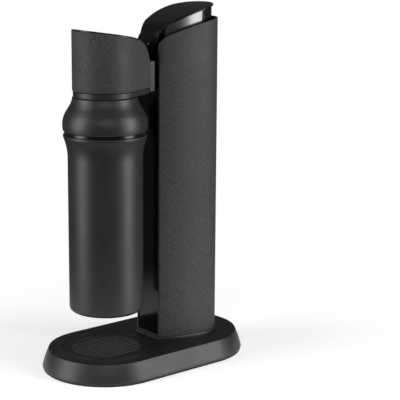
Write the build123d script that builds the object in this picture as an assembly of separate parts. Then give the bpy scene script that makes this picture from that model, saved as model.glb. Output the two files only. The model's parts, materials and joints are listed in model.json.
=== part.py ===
from build123d import *
import math
import os

# Free-standing soda maker: a flat base with a drip tray at the front, a tall
# column at the back that holds the gas cylinder, a tilting head with a
# protective canister under it, and a press lever on top of the column.
# Millimetres, +Z up, the front is -Y, the origin is the middle of the
# rectangle round the base, on the surface that the feet stand on.

# ---- driving dimensions ----
vesselY = -58.5          # axis of the tray, canister, dome and head
cylinderY = 66.0         # axis of the gas cylinder

baseEndY = 59.4          # centres of the base's round ends
baseBottomHalf = 78.6
baseTopHalf = 70.8
baseBottomZ = 2.4
baseTopZ = 25.5
baseWall = 2.5
footHalf = 77.3
footWidth = 8.0
plateHalf = 74.2
plateZ = 2.5
plateThick = 2.5

trayHoleR = 53.4
trayRimR = 52.9
trayWallR = 50.2
trayFloorZ = 9.5
trayLedgeZ = 22.5        # where the tray's flange rests in the base
trayTopZ = 24.0
grilleR = 52.8
grilleTopZ = 25.6
slotFieldR = 43.0
slotWidth = 3.0
slotPitch = 6.9
slotCount = 11

columnFrontY = 6.7
columnFrontHalf = 21.8
columnBackY = 65.8       # centre of the column's round back
columnRearR = 39.5
columnWall = 2.0
columnBottomZ = 25.6
collarHeight = 4.0
collarWidth = 2.0
panelHalf = 19.6
panelFrontY = 7.6
rimFrontZ = 388.0        # where the shell's front corner starts to round
rimShoulder = (16.0, 402.3)
rimMiddle = (50.0, 414.2)
rimBackZ = 419.6

spineFrontY = 12.0
spineHalf = 19.0
spineDepth = 22.0
spineWall = 2.5
deckZ = 382.0            # underside of the deck that carries the valve and lever
deckThick = 3.0

tiltY = 20.0             # axis on which the head tilts
tiltZ = 356.0
tiltPinR = 4.0
neckHalf = 13.0
neckSlotHalf = 14.6
neckSlotLowZ = 341.5
neckSlotHighZ = 375.5

headR = 38.8
crownFront = (-106.0, 415.0)
crownMiddle = (-66.0, 409.9)
crownRear = (-32.0, 402.9)
shoulderMiddle = (-14.5, 393.0)
shoulderLowZ = 376.0
capEdge = 1.2            # height of the cap's visible edge
tabHalf = 20.5
tabFrontY = -6.7
tabRearY = 0.9
tabLowZ = 337.0
tabHighZ = 373.6
trimInset = 0.9
trimLowZ = 335.3
trimHighZ = 341.2
shellLowZ = 341.9
shellWall = 2.2

canisterR = 45.0
canisterWall = 1.5
canisterLowZ = 73.2
canisterLipR = 50.2
canisterLipZ = 289.8
domeLowZ = 294.2
domeLipR = 50.4
domeTopZ = 335.2
domeWall = 2.0
ringLowZ = 290.2
ringHighZ = 293.7
ringR = 48.8
lugR = 45.5
collarR = 43.0
lugAngle = 22.0
ringOpenGap = 3.0        # degrees between a lug and its notch

leverY = 24.0            # axis on which the lever turns
leverZ = 400.0
leverPinR = 2.5
paddleInset = 5.5
coreInset = 7.7
paddleThick = 1.9
noseInset = 1.3
paddleNose = (8.0, 404.6)
paddleBend = (14.5, 413.3)
paddleKnee = (27.5, 420.4)
paddleBack = (60.0, 431.4)
paddleEnd = (120.0, 439.4)
noseLowZ = 392.0
plungerTravel = 4.0

cylinderR = 30.0
cylinderLowZ = 7.3
valveTopZ = 362.0
threadR = 10.5
runningFit = 0.05
pinTravel = 2.0
hoseR = 3.0
elbowX = -22.5
hoseBore = 1.7


# ---- helpers ----
def disc(radius, lowZ, highZ, x=0.0, y=0.0):
    return Pos(x, y, (lowZ + highZ) / 2) * Cylinder(radius, highZ - lowZ)


def ring(outer, inner, lowZ, highZ, x=0.0, y=0.0):
    return disc(outer, lowZ, highZ, x, y) - disc(inner, lowZ - 1, highZ + 1, x, y)


def block(lowX, highX, lowY, highY, lowZ, highZ):
    middle = Pos((lowX + highX) / 2, (lowY + highY) / 2, (lowZ + highZ) / 2)
    return middle * Box(highX - lowX, highY - lowY, highZ - lowZ)


def prism(face, lowZ, highZ):
    return extrude(Pos(0, 0, lowZ) * face, highZ - lowZ)


def rodX(radius, lowX, highX, y, z):
    return Pos((lowX + highX) / 2, y, z) * Rot(0, 90, 0) * Cylinder(radius, highX - lowX)


def rodY(radius, lowY, highY, x, z):
    return Pos(x, (lowY + highY) / 2, z) * Rot(90, 0, 0) * Cylinder(radius, highY - lowY)


def around(count, radius, x=0.0, y=0.0, start=0.0):
    places = []
    for step in range(count):
        angle = math.radians(start + 360 * step / count)
        places.append((x + radius * math.cos(angle), y + radius * math.sin(angle)))
    return places


def turned(outline, y=0.0):
    return Pos(0, y, 0) * revolve(Plane.XZ * Face(Wire(outline)), Axis.Z)


def sideSlab(outline, half=120.0):
    return extrude(Plane.YZ * Face(Wire(outline)), half, both=True)


def stadium(half, endY=baseEndY):
    outline = [
        Line((half, -endY), (half, endY)),
        ThreePointArc((half, endY), (0, endY + half), (-half, endY)),
        Line((-half, endY), (-half, -endY)),
        ThreePointArc((-half, -endY), (0, -endY - half), (half, -endY)),
    ]
    return Face(Wire(outline))


def columnPlan(inset, frontInset=None):
    """Column outline: flat front, bowed sides and a round back, offset inward."""
    rearR = columnRearR - inset
    frontY = columnFrontY + (inset if frontInset is None else frontInset)
    reach = columnBackY - columnFrontY
    bulge = columnRearR - columnFrontHalf
    sideR = (bulge**2 + reach**2) / (2 * bulge)
    centreX = columnRearR - sideR
    sideR -= inset
    frontX = centreX + math.sqrt(sideR**2 - (columnBackY - frontY) ** 2)
    turn = math.asin((columnBackY - frontY) / sideR) / 2
    midX = centreX + sideR * math.cos(turn)
    midY = columnBackY - sideR * math.sin(turn)
    outline = [
        Line((-frontX, frontY), (frontX, frontY)),
        ThreePointArc((frontX, frontY), (midX, midY), (rearR, columnBackY)),
        ThreePointArc((rearR, columnBackY), (0, columnBackY + rearR), (-rearR, columnBackY)),
        ThreePointArc((-rearR, columnBackY), (-midX, midY), (-frontX, frontY)),
    ]
    return Face(Wire(outline))


def headPlan(inset):
    """Head outline: a circle whose back tapers along two tangents to the neck."""
    radius = headR - inset
    half = tabHalf - inset
    backY = tabFrontY - inset * 0.6
    away = math.hypot(half, backY - vesselY)
    angle = math.atan2(backY - vesselY, half) - math.acos(radius / away)
    touchX = radius * math.cos(angle)
    touchY = vesselY + radius * math.sin(angle)
    outline = [
        Line((half, backY), (-half, backY)),
        Line((-half, backY), (-touchX, touchY)),
        ThreePointArc((-touchX, touchY), (0, vesselY - radius), (touchX, touchY)),
        Line((touchX, touchY), (half, backY)),
    ]
    return Face(Wire(outline))


def screw(x, y, headLowZ, headHighZ, tipZ, headR=2.6, shankR=1.5):
    """Pan-head screw standing upright, with a cross socket in its head."""
    up = headLowZ > tipZ
    if up:
        body = disc(headR, headLowZ, headHighZ, x, y) + disc(shankR, tipZ, headLowZ, x, y)
        face = headHighZ
        low = face - 1.0
        high = face + 1
    else:
        body = disc(headR, headLowZ, headHighZ, x, y) + disc(shankR, headHighZ, tipZ, x, y)
        face = headLowZ
        low = face - 1
        high = face + 1.0
    arm = headR * 0.6
    body -= block(x - arm, x + arm, y - 0.4, y + 0.4, low, high)
    return body - block(x - 0.4, x + 0.4, y - arm, y + arm, low, high)


def save(name, shape):
    solids = list(shape) if isinstance(shape, (list, tuple)) else shape.solids()
    part = solids[0] if len(solids) == 1 else Compound(children=list(solids))
    export_step(part, f"parts/{name}.step")
    print(name, len(solids), round(sum(s.volume for s in solids)))


# ---- base ----
baseScrewPlaces = [(x, y) for x in (-64.0, 64.0) for y in (-52.0, 4.0, 60.0)]
spineScrewPlaces = [(x, y) for x in (-11.5, 11.5) for y in (19.0, 29.0)]


def baseShell():
    bottom = Pos(0, 0, baseBottomZ) * stadium(baseBottomHalf)
    top = Pos(0, 0, baseTopZ) * stadium(baseTopHalf)
    shell = loft([bottom, top], ruled=True)
    rimEdges = shell.edges().filter_by_position(Axis.Z, baseTopZ - 0.01, baseTopZ + 0.01)
    shell = fillet(rimEdges, 1.2)
    lowEdges = shell.edges().filter_by_position(Axis.Z, baseBottomZ - 0.01, baseBottomZ + 0.01)
    shell = fillet(lowEdges, 1.0)
    slope = (baseBottomHalf - baseTopHalf) / (baseTopZ - baseBottomZ)
    innerTop = baseTopZ - baseWall
    low = Pos(0, 0, baseBottomZ - 1) * stadium(baseBottomHalf - baseWall + slope)
    high = Pos(0, 0, innerTop) * stadium(baseTopHalf - baseWall + slope * baseWall)
    shell -= loft([low, high], ruled=True)
    well = disc(trayHoleR + 2.6, 11.0, innerTop, y=vesselY)
    for x, y in baseScrewPlaces:
        shell += disc(4.0, plateZ + plateThick, innerTop + 0.5, x, y)
    shell += well
    shell -= disc(trayHoleR, trayLedgeZ, baseTopZ + 1, y=vesselY)
    shell -= disc(trayWallR + 0.6, 0, baseTopZ, y=vesselY)
    shell -= disc(cylinderR + 2.0, 0, baseTopZ + 1, y=cylinderY)
    for x, y in baseScrewPlaces:
        shell -= disc(1.5, plateZ, innerTop - 3.0, x, y)
    for x, y in spineScrewPlaces:
        shell -= disc(1.5, innerTop - 1, baseTopZ + 1, x, y)
    return shell


def footRing():
    return prism(stadium(footHalf) - stadium(footHalf - footWidth), 0, baseBottomZ)


def basePlate():
    plate = prism(stadium(plateHalf), plateZ, plateZ + plateThick)
    plate -= disc(33.2, 0, 10, y=cylinderY)
    for x, y in baseScrewPlaces:
        plate -= disc(1.6, 0, 10, x, y)
    for angle in (0, 120, 240):
        notch = block(30, 35.6, -5.5, 5.5, 0, 10)
        plate -= Pos(0, cylinderY, 0) * Rot(0, 0, angle + 30) * notch
    return plate


def baseScrews():
    return [screw(x, y, 0.9, plateZ, 14.0) for x, y in baseScrewPlaces]


def columnCollar():
    outer = prism(columnPlan(-collarWidth), baseTopZ, baseTopZ + collarHeight)
    topEdges = outer.edges().filter_by_position(Axis.Z, baseTopZ + collarHeight - 0.01, 100)
    outer = fillet(topEdges, 1.9)
    return outer - prism(columnPlan(-0.15), 0, 50)


def dripTray():
    tray = disc(trayWallR, trayFloorZ, trayTopZ, y=vesselY)
    tray += disc(trayRimR, trayLedgeZ + 0.05, trayTopZ, y=vesselY)
    tray -= disc(trayWallR - 2.0, trayFloorZ + 1.8, 30, y=vesselY)
    for x, y in around(4, trayWallR - 6.7, y=vesselY, start=45):
        tray += disc(2.0, trayFloorZ + 1.0, trayTopZ - 0.1, x, y)
    return tray


def dripGrille():
    """Slotted plate with a plain, slightly dished border and a locating ring below."""
    low = trayTopZ + 0.1
    field = slotFieldR + 1.0
    outline = [
        Line((0, low), (grilleR, low)),
        Line((grilleR, low), (grilleR, grilleTopZ)),
        Line((grilleR, grilleTopZ), (grilleR - 1.2, grilleTopZ)),
        Line((grilleR - 1.2, grilleTopZ), (field, grilleTopZ - 0.5)),
        Line((field, grilleTopZ - 0.5), (0, grilleTopZ - 0.5)),
        Line((0, grilleTopZ - 0.5), (0, low)),
    ]
    grille = turned(outline, vesselY)
    grille += ring(trayWallR - 2.4, trayWallR - 3.8, low - 1.5, low + 0.5, y=vesselY)
    for step in range(slotCount):
        x = (step - (slotCount - 1) / 2) * slotPitch
        reach = math.sqrt(slotFieldR**2 - x**2)
        slot = block(-slotWidth / 2, slotWidth / 2, -reach, reach, 20, 30)
        grille -= Pos(x, vesselY, 0) * slot
    return grille


def hatchCover():
    cover = disc(32.8, 0.9, 4.4, y=cylinderY)
    for angle in (0, 120, 240):
        arm = block(31, 35.0, -5, 5, 5.3, 6.8) + block(29.0, 32.5, -5, 5, 4.4, 6.8)
        cover += Pos(0, cylinderY, 0) * Rot(0, 0, angle) * arm
    grip = block(-24, 24, 3, 14, 0, 3.0) + block(-24, 24, -14, -3, 0, 3.0)
    return cover - Pos(0, cylinderY, 0) * grip


def cylinderCushion():
    return ring(22.0, 8.0, 4.4, cylinderLowZ - 0.3, y=cylinderY)


# ---- column ----
def underRim(drop=0.0, back=0.0):
    """Everything below the column's sloping rim, lowered by drop, as a slab."""
    frontY = columnFrontY + back
    shoulderY = rimShoulder[0] + back
    outline = [
        Line((frontY - 20, rimFrontZ - drop), (frontY, rimFrontZ - drop)),
        ThreePointArc(
            (frontY, rimFrontZ - drop),
            (frontY + 3.0, rimFrontZ + 8.8 - drop),
            (shoulderY, rimShoulder[1] - drop),
        ),
        ThreePointArc(
            (shoulderY, rimShoulder[1] - drop),
            (rimMiddle[0], rimMiddle[1] - drop),
            (130, rimBackZ - drop),
        ),
        Line((130, rimBackZ - drop), (130, -10)),
        Line((130, -10), (frontY - 20, -10)),
        Line((frontY - 20, -10), (frontY - 20, rimFrontZ - drop)),
    ]
    return sideSlab(outline)


def columnShell():
    shell = prism(columnPlan(0), columnBottomZ, 430)
    corners = shell.edges().filter_by(Axis.Z).filter_by_position(Axis.Y, 0, columnFrontY + 1)
    shell = fillet(corners, 2.0)
    shell -= prism(columnPlan(columnWall), 0, 440)
    shell -= block(-panelHalf - 0.3, panelHalf + 0.3, 0, 10, 31.0, 440)
    return shell & underRim()


def frontPanel():
    panel = block(-panelHalf, panelHalf, panelFrontY, panelFrontY + 2.0, 31.3, 390.5)
    panel -= block(-neckSlotHalf, neckSlotHalf, 0, 20, neckSlotLowZ, neckSlotHighZ)
    for z in (80.0, 180.0, 280.0):
        for x in (-10.0, 10.0):
            panel += block(x - 3, x + 3, panelFrontY + 1.5, spineFrontY, z, z + 6)
    return panel


def spineFrame():
    lowZ = columnBottomZ + 0.1
    frame = block(-spineHalf, spineHalf, spineFrontY, spineFrontY + spineDepth, lowZ, deckZ)
    inner = spineHalf - spineWall
    frame -= block(-inner, inner, spineFrontY + spineWall, 60, lowZ + 3, 400)
    frame -= block(-neckSlotHalf, neckSlotHalf, 0, 20, neckSlotLowZ - 1, 376.5)
    frame -= rodX(tiltPinR, -40, 40, tiltY, tiltZ)
    for z in (100.0, 160.0, 220.0, 280.0):
        frame -= block(-8, 8, 0, 20, z, z + 30)
    deck = prism(columnPlan(5.0), deckZ, deckZ + deckThick) & block(-60, 60, spineFrontY, 120, 0, 500)
    frame += deck
    frame -= disc(9.2, deckZ - 5, deckZ + 5, y=cylinderY)
    for x, y in spineScrewPlaces:
        frame -= disc(1.2, 0, lowZ + 4, x, y)
    for x, y in valveScrewPlaces:
        frame -= disc(2.0, deckZ - 1, deckZ + 5, x, y)
    for x, y in bracketScrewPlaces:
        frame -= disc(1.5, deckZ - 1, deckZ + 5, x, y)
    return frame


def spineScrews():
    low = baseTopZ - baseWall - 1.8
    return [screw(x, y, low, baseTopZ - baseWall, columnBottomZ + 3.0, 3.0, 1.2) for x, y in spineScrewPlaces]


def topBezel():
    """Dark rim insert that closes the gap between shell and lever core."""
    bezel = prism(columnPlan(columnWall + 0.1), 380, 430) - prism(columnPlan(coreInset - 1.6), 370, 440)
    bezel = bezel & underRim(6.0)
    bezel -= underRim(8.5)
    return bezel & block(-60, 60, 26, 120, 300, 500)


def cylinderGuides():
    guides = []
    for z in (70.0, 210.0):
        guide = prism(columnPlan(columnWall + 0.1), z, z + 8) & block(-60, 60, 40, 120, 0, 500)
        guides.append((guide - disc(cylinderR + 0.6, 0, 500, y=cylinderY)).solids()[0])
    return guides


# ---- gas cylinder and valve ----
valveScrewPlaces = [(x, cylinderY + y) for x in (-16.0, 16.0) for y in (-16.0, 16.0)]
bracketScrewPlaces = [(x, y) for x in (-8.0, 8.0) for y in (20.0, 30.0)]


def gasCylinder():
    outline = [
        Line((0, cylinderLowZ), (22, cylinderLowZ)),
        ThreePointArc((22, cylinderLowZ), (27.7, cylinderLowZ + 2.3), (cylinderR, cylinderLowZ + 8)),
        Line((cylinderR, cylinderLowZ + 8), (cylinderR, 288)),
        ThreePointArc((cylinderR, 288), (24.8, 304), (13, 314)),
        Line((13, 314), (13, 322)),
        Line((13, 322), (9, 322)),
        Line((9, 322), (9, 313)),
        ThreePointArc((9, 313), (22, 301), (27, 288)),
        Line((27, 288), (27, cylinderLowZ + 8)),
        Line((27, cylinderLowZ + 8), (20, cylinderLowZ + 4)),
        Line((20, cylinderLowZ + 4), (0, cylinderLowZ + 4)),
        Line((0, cylinderLowZ + 4), (0, cylinderLowZ)),
    ]
    return turned(outline, cylinderY)


def cylinderValve():
    valve = disc(9.0, 308, 322, y=cylinderY)
    valve += prism(Pos(0, cylinderY) * RegularPolygon(13.5, 6), 322, 336)
    valve += disc(threadR, 336, valveTopZ, y=cylinderY)
    return valve - disc(1.5 + runningFit, 346, 370, y=cylinderY)


def valvePin():
    return disc(1.5, 349, 364, y=cylinderY)


def cylinderSeal():
    return ring(9.0, 4.5, valveTopZ + 0.05, valveTopZ + 1.5, y=cylinderY)


def valveBlock():
    block_ = block(-22, 22, cylinderY - 22, cylinderY + 22, 344, deckZ)
    block_ = fillet(block_.edges().filter_by(Axis.Z), 4)
    block_ -= disc(threadR + runningFit, 300, valveTopZ + 1.5, y=cylinderY)
    block_ -= disc(4.2, 360, 390, y=cylinderY)
    block_ -= disc(8.9, 374, 390, y=cylinderY)
    block_ -= rodX(2.0, -30, 0, cylinderY, 369)
    block_ -= rodX(3.0, 0, 30, cylinderY, 369)
    for x, y in valveScrewPlaces:
        block_ -= disc(1.6, 372, deckZ + 1, x, y)
    return block_


def valveScrews():
    top = deckZ + deckThick
    return [screw(x, y, top, top + 2.2, 374, 3.4, 1.6) for x, y in valveScrewPlaces]


def plungerGuide():
    guide = disc(8.9, 374, 390, y=cylinderY)
    guide += prism(Pos(0, cylinderY) * RegularPolygon(11.0, 6), deckZ + deckThick, 390)
    return guide - disc(3.5 + runningFit, 300, 400, y=cylinderY)


def plunger():
    stem = disc(3.5, 364.1 + plungerTravel - pinTravel, 402, y=cylinderY)
    return stem + disc(6.0, 401.5, 405, y=cylinderY)


def plungerSpring():
    turns = 3.5
    radius = 5.2
    low = 390.7
    high = 400.8
    path = Pos(0, cylinderY, low) * Helix((high - low) / turns, high - low, radius)
    start = path @ 0
    section = Plane(origin=start, z_dir=path % 0) * Circle(0.6)
    return sweep(section, path=path)


def reliefValve():
    valve = rodX(3.0, 17, 22, cylinderY, 369)
    hexagon = Pos(22, cylinderY, 369) * Rot(0, 90, 0) * extrude(RegularPolygon(6.5, 6), 5)
    return valve + hexagon + rodX(3.6, 27, 32, cylinderY, 369)


def outletFitting():
    fitting = rodX(4.2, -31.0, -22, cylinderY, 369)
    fitting += rodY(hoseBore, cylinderY - 16, cylinderY, -28, 369)
    fitting += rodY(4.2, cylinderY - 6, cylinderY, -28, 369)
    return fitting


def hose(points, radii):
    path = FilletPolyline(*points, radius=radii)
    section = Plane(origin=path @ 0, z_dir=path % 0) * (Circle(hoseR) - Circle(hoseBore))
    return sweep(section, path=path)


def gasHoseLower():
    points = [(-28, 60, 369), (-28, 47, 369), (elbowX, 37, 356), (elbowX, 25, 356)]
    return hose(points, [9.0, 9.0])


def gasHoseUpper():
    points = [(0, 2, 356), (0, -9, 356), (2.4, -19, 357.2), (0, -29, 356), (0, -43, 356)]
    return hose(points, [14.0, 14.0, 14.0])


def swivelElbow():
    elbow = rodX(3.6, elbowX - 1.9, -spineHalf - 0.1, tiltY, tiltZ)
    elbow += rodY(hoseBore, tiltY, 33, elbowX, tiltZ)
    return elbow


# ---- lever ----
def underPaddle(drop=0.0):
    """Everything below the paddle's top line, or below that line offset inward by drop."""
    nose = (paddleNose[0] + drop * 0.85, paddleNose[1] - drop * 0.6)
    bend = (paddleBend[0] + drop * 0.7, paddleBend[1] - drop * 0.7)
    knee = (paddleKnee[0] + drop * 0.5, paddleKnee[1] - drop * 0.87)
    back = (paddleBack[0] + drop * 0.25, paddleBack[1] - drop * 0.97)
    end = (paddleEnd[0], paddleEnd[1] - drop)
    outline = [
        ThreePointArc(nose, bend, knee),
        ThreePointArc(knee, back, end),
        Line(end, (end[0], 300)),
        Line((end[0], 300), (nose[0], 300)),
        Line((nose[0], 300), nose),
    ]
    return sideSlab(outline)


def leverPaddle():
    paddle = prism(columnPlan(paddleInset, noseInset), noseLowZ, 450) & underPaddle()
    return paddle - underPaddle(paddleThick)


def leverCore():
    core = prism(columnPlan(coreInset), 385, 450) - prism(columnPlan(coreInset + 2.0), 300, 460)
    core = core & underPaddle(paddleThick + 0.05)
    core -= underRim(7.0)
    core = core & block(-60, 60, 16, 120, 300, 500)
    for side in (-1, 1):
        lug = block(side * 17.6 - 1.4, side * 17.6 + 1.4, 18, 30, 394, 440)
        core += lug & underPaddle(paddleThick + 0.05)
    rail = block(-20.5, 20.5, 26, 30, 408, 440)
    core += rail & underPaddle(paddleThick + 0.05)
    web = block(-1.5, 1.5, 26, 96, 412, 440)
    core += web & underPaddle(paddleThick + 0.05)
    post = disc(6.0, 409, 440, y=cylinderY)
    core += post & underPaddle(paddleThick + 0.05)
    return core - rodX(leverPinR, -40, 40, leverY, leverZ)


def leverPad():
    return disc(5.0, 405.3, 409, y=cylinderY)


def leverTrims():
    band = prism(columnPlan(coreInset - 0.9), 380, 450) - prism(columnPlan(coreInset), 370, 460)
    band = band & underPaddle(paddleThick + 0.1)
    band -= underRim(2.5)
    band = band & block(-60, 60, 17, cylinderY, 300, 500)
    return sorted(band.solids(), key=lambda s: s.center().X)


def leverBracket():
    bracket = block(-15.2, 15.2, 17, 33, deckZ + deckThick, deckZ + deckThick + 2.5)
    for side in (-1, 1):
        cheek = block(side * 13.7 - 1.5, side * 13.7 + 1.5, 18, 30, deckZ + deckThick, leverZ)
        bracket += cheek + rodX(6.0, side * 13.7 - 1.5, side * 13.7 + 1.5, leverY, leverZ)
    bracket -= rodX(leverPinR + runningFit, -40, 40, leverY, leverZ)
    for x, y in bracketScrewPlaces:
        bracket -= disc(1.7, deckZ, deckZ + 10, x, y)
    return bracket


def bracketScrews():
    top = deckZ + deckThick + 2.5
    return [screw(x, y, top, top + 1.8, deckZ - 3, 2.8, 1.5) for x, y in bracketScrewPlaces]


def leverPin():
    return rodX(leverPinR, -19.6, 19.6, leverY, leverZ)


# ---- head ----
def underHeadTop(drop=0.0, back=0.0):
    """Everything below the head's top line, which falls to the rear and rounds down."""
    front = (crownFront[0], crownFront[1] - drop)
    rear = (crownRear[0] - back, crownRear[1] - drop)
    low = (tabFrontY - back, shoulderLowZ - drop)
    outline = [
        ThreePointArc(front, (crownMiddle[0], crownMiddle[1] - drop), rear),
        ThreePointArc(rear, (shoulderMiddle[0] - back, shoulderMiddle[1] - drop), low),
        Line(low, (low[0], 300)),
        Line((low[0], 300), (front[0], 300)),
        Line((front[0], 300), front),
    ]
    return sideSlab(outline)


def headShell():
    shell = prism(headPlan(0), shellLowZ, 430) & underHeadTop(capEdge, 0.9)
    shell -= prism(headPlan(shellWall), 300, 430) & underHeadTop(capEdge + 2.4, 3.1)
    return shell - block(-neckHalf - 0.6, neckHalf + 0.6, -30, 0, 300, 370.5)


def headTopCap():
    cap = prism(headPlan(0.2), shoulderLowZ + 0.2, 430) & underHeadTop()
    return cap - underHeadTop(capEdge - 0.1, 0.8)


def headBody():
    """Frame inside the head: trim plate, nozzle housing, neck bar and hinge knuckle."""
    body = prism(headPlan(trimInset), trimLowZ, trimHighZ)
    body += disc(17.0, trimLowZ, 374, y=vesselY)
    bar = block(-neckHalf, neckHalf, vesselY + 10, tiltY, 343, 369)
    body += bar
    body += rodX(13.0, -neckHalf, neckHalf, tiltY, tiltZ)
    body += block(-neckHalf, neckHalf, vesselY + 10, tabFrontY, trimHighZ, 350)
    body -= rodX(6.0, -40, 40, tiltY, tiltZ)
    body -= block(-7.0, 7.0, vesselY, tiltY - 4.0, 350.0, 363.0)
    body -= disc(11.0, 300, 380, y=vesselY)
    for x, y in domeScrewPlaces:
        body -= disc(1.5, 330, trimHighZ - 0.8, x, y)
    return body


def neckSleeve():
    sleeve = block(-tabHalf, tabHalf, tabFrontY + 0.1, tabRearY, tabLowZ, tabHighZ)
    sleeve = fillet(sleeve.edges().filter_by(Axis.Y), 1.5)
    sleeve -= block(-neckHalf, neckHalf, -20, 10, 343, 369)
    return sleeve


def tiltPin():
    return rodX(tiltPinR, -spineHalf - 0.1, spineHalf + 1.5, tiltY, tiltZ)


def tiltBushes():
    bushes = []
    for side in (-1, 1):
        low = min(side * 7.0, side * 14.2)
        high = max(side * 7.0, side * 14.2)
        bush = rodX(6.0, low, high, tiltY, tiltZ) - rodX(tiltPinR + runningFit, -40, 40, tiltY, tiltZ)
        flange = rodX(9.0, min(side * 13.0, side * 14.2), max(side * 13.0, side * 14.2), tiltY, tiltZ)
        flange -= rodX(5.0, -40, 40, tiltY, tiltZ)
        bushes.append((bush + flange).solids()[0])
    return bushes


def hoseSwivel():
    swivel = rodX(6.0, -4.0, 4.0, tiltY, tiltZ) - rodX(tiltPinR + runningFit, -10, 10, tiltY, tiltZ)
    barb = rodY(hoseBore, -3, tiltY - 5.2, 0, tiltZ) + rodY(3.6, 4.2, tiltY - 5.2, 0, tiltZ)
    return swivel + barb


def nozzleBody():
    nozzle = disc(10.9, 330, 371, y=vesselY)
    nozzle += disc(7.5, 322, 330, y=vesselY)
    nozzle += rodY(hoseBore, vesselY + 9, -38.5, 0, 356)
    nozzle += rodY(4.0, vesselY + 9, -45.5, 0, 356)
    nozzle -= disc(3.0, 300, 350, y=vesselY)
    return nozzle


def carbonationTube():
    tube = ring(3.0, 1.6, 206, 348, y=vesselY)
    tip = disc(3.6, 198, 206, y=vesselY) - disc(0.8, 190, 206.5, y=vesselY)
    return tube + tip


def bottleGasket():
    outline = [
        Line((7.6, 322), (13.0, 322)),
        Line((13.0, 322), (17.0, 327)),
        Line((17.0, 327), (17.0, trimLowZ - 0.1)),
        Line((17.0, trimLowZ - 0.1), (11.0, trimLowZ - 0.1)),
        Line((11.0, trimLowZ - 0.1), (11.0, 329.9)),
        Line((11.0, 329.9), (7.6, 329.9)),
        Line((7.6, 329.9), (7.6, 322)),
    ]
    return turned(outline, vesselY)


domeScrewPlaces = around(3, 28.0, y=vesselY, start=210)


def dome():
    low = domeLowZ
    outer = [
        (domeLipR, low),
        (50.9, low + 7.0),
        (48.7, low + 18.3),
        (43.8, low + 26.8),
        (40.1, low + 33.6),
        (headR, domeTopZ),
    ]
    inner = [(r - domeWall, z - 0.4) for r, z in reversed(outer[1:-1])]
    roof = domeTopZ - 3.0
    mouth = domeLipR - 1.9
    groove = mouth + 0.8
    outline = [
        Spline(*outer, tangents=[(0.1, 1), (0, 1)]),
        Line(outer[-1], (18.0, domeTopZ)),
        Line((18.0, domeTopZ), (18.0, roof)),
        Line((18.0, roof), (36.0, roof)),
        Spline((36.0, roof), *inner, (mouth, low + 6.1), tangents=[(0.6, -1), (0, -1)]),
        Line((mouth, low + 6.1), (mouth, low + 3.8)),
        Line((mouth, low + 3.8), (groove, low + 3.8)),
        Line((groove, low + 3.8), (groove, low + 1.8)),
        Line((groove, low + 1.8), (mouth, low + 1.8)),
        Line((mouth, low + 1.8), (mouth, low)),
        Line((mouth, low), outer[0]),
    ]
    shell = turned(outline, vesselY)
    for x, y in domeScrewPlaces:
        shell -= disc(1.6, roof - 1, domeTopZ + 1, x, y)
    return shell


def domeScrews():
    roof = domeTopZ - 3.0
    return [screw(x, y, roof - 2.0, roof, trimHighZ - 1.0) for x, y in domeScrewPlaces]


def wedge(radius, low, high, angle, width):
    half = radius * math.tan(math.radians(width / 2)) * 1.3
    corner = [(0, 0), (radius * 1.3, -half), (radius * 1.3, half), (0, 0)]
    face = Face(Wire(Polyline(*corner).edges()))
    return Pos(0, vesselY, 0) * Rot(0, 0, angle) * prism(face, low, high)


def lockRing():
    lock = ring(ringR, collarR + 0.4, ringLowZ, ringHighZ, y=vesselY)
    lock += ring(48.1, 46.4, ringHighZ, ringHighZ + 5.6, y=vesselY)
    lock += ring(49.0, 48.0, ringHighZ + 2.6, ringHighZ + 4.0, y=vesselY)
    for angle in (90, 210, 330):
        notch = wedge(60, ringLowZ - 7, ringHighZ + 1.1, angle, lugAngle + 2 * ringOpenGap)
        lock -= notch & disc(lugR + 0.5, ringLowZ - 7, ringHighZ + 9, y=vesselY)
    return lock


def canister():
    wall = canisterWall
    low = canisterLowZ
    bend = 7.0
    slant = bend * (1 - math.sqrt(0.5))
    inR = canisterR - wall
    lipR = canisterLipR
    lipZ = canisterLipZ
    outline = [
        Line((0, low), (canisterR - bend, low)),
        ThreePointArc((canisterR - bend, low), (canisterR - slant, low + slant), (canisterR, low + bend)),
        Line((canisterR, low + bend), (canisterR, 263)),
        ThreePointArc((canisterR, 263), (46.8, 276.5), (lipR, lipZ - 4.0)),
        Line((lipR, lipZ - 4.0), (lipR, lipZ)),
        Line((lipR, lipZ), (lipR - wall, lipZ)),
        Line((lipR - wall, lipZ), (lipR - wall, lipZ - 3.6)),
        ThreePointArc((lipR - wall, lipZ - 3.6), (45.2, 276.5), (inR, 263)),
        Line((inR, 263), (inR, low + bend)),
        ThreePointArc((inR, low + bend), (inR - 1.6, low + wall + 1.6), (canisterR - bend, low + wall)),
        Line((canisterR - bend, low + wall), (0, low + wall)),
        Line((0, low + wall), (0, low)),
    ]
    return turned(outline, vesselY)


def canisterInsert():
    """Plastic bayonet ring pressed into the canister's flared mouth."""
    lipZ = canisterLipZ
    seatR = canisterLipR - canisterWall - 0.05
    outline = [
        Line((41.0, 271), (43.3, 271)),
        Line((43.3, 271), (44.8, 278.5)),
        Line((44.8, 278.5), (seatR, lipZ - 2.4)),
        Line((seatR, lipZ - 2.4), (seatR, lipZ)),
        Line((seatR, lipZ), (collarR, lipZ)),
        Line((collarR, lipZ), (collarR, lipZ + 12.2)),
        Line((collarR, lipZ + 12.2), (41.0, lipZ + 12.2)),
        Line((41.0, lipZ + 12.2), (41.0, 271)),
    ]
    insert = turned(outline, vesselY)
    lugLow = lipZ + 6.2
    for angle in (90, 210, 330):
        lug = wedge(60, lugLow, lugLow + 3.0, angle, lugAngle)
        lug = lug & ring(lugR, collarR - 0.5, lugLow, lugLow + 3.0, y=vesselY)
        insert += lug
    return insert


def canisterPad():
    return disc(36.0, canisterLowZ + canisterWall, canisterLowZ + canisterWall + 3.5, y=vesselY)


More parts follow.
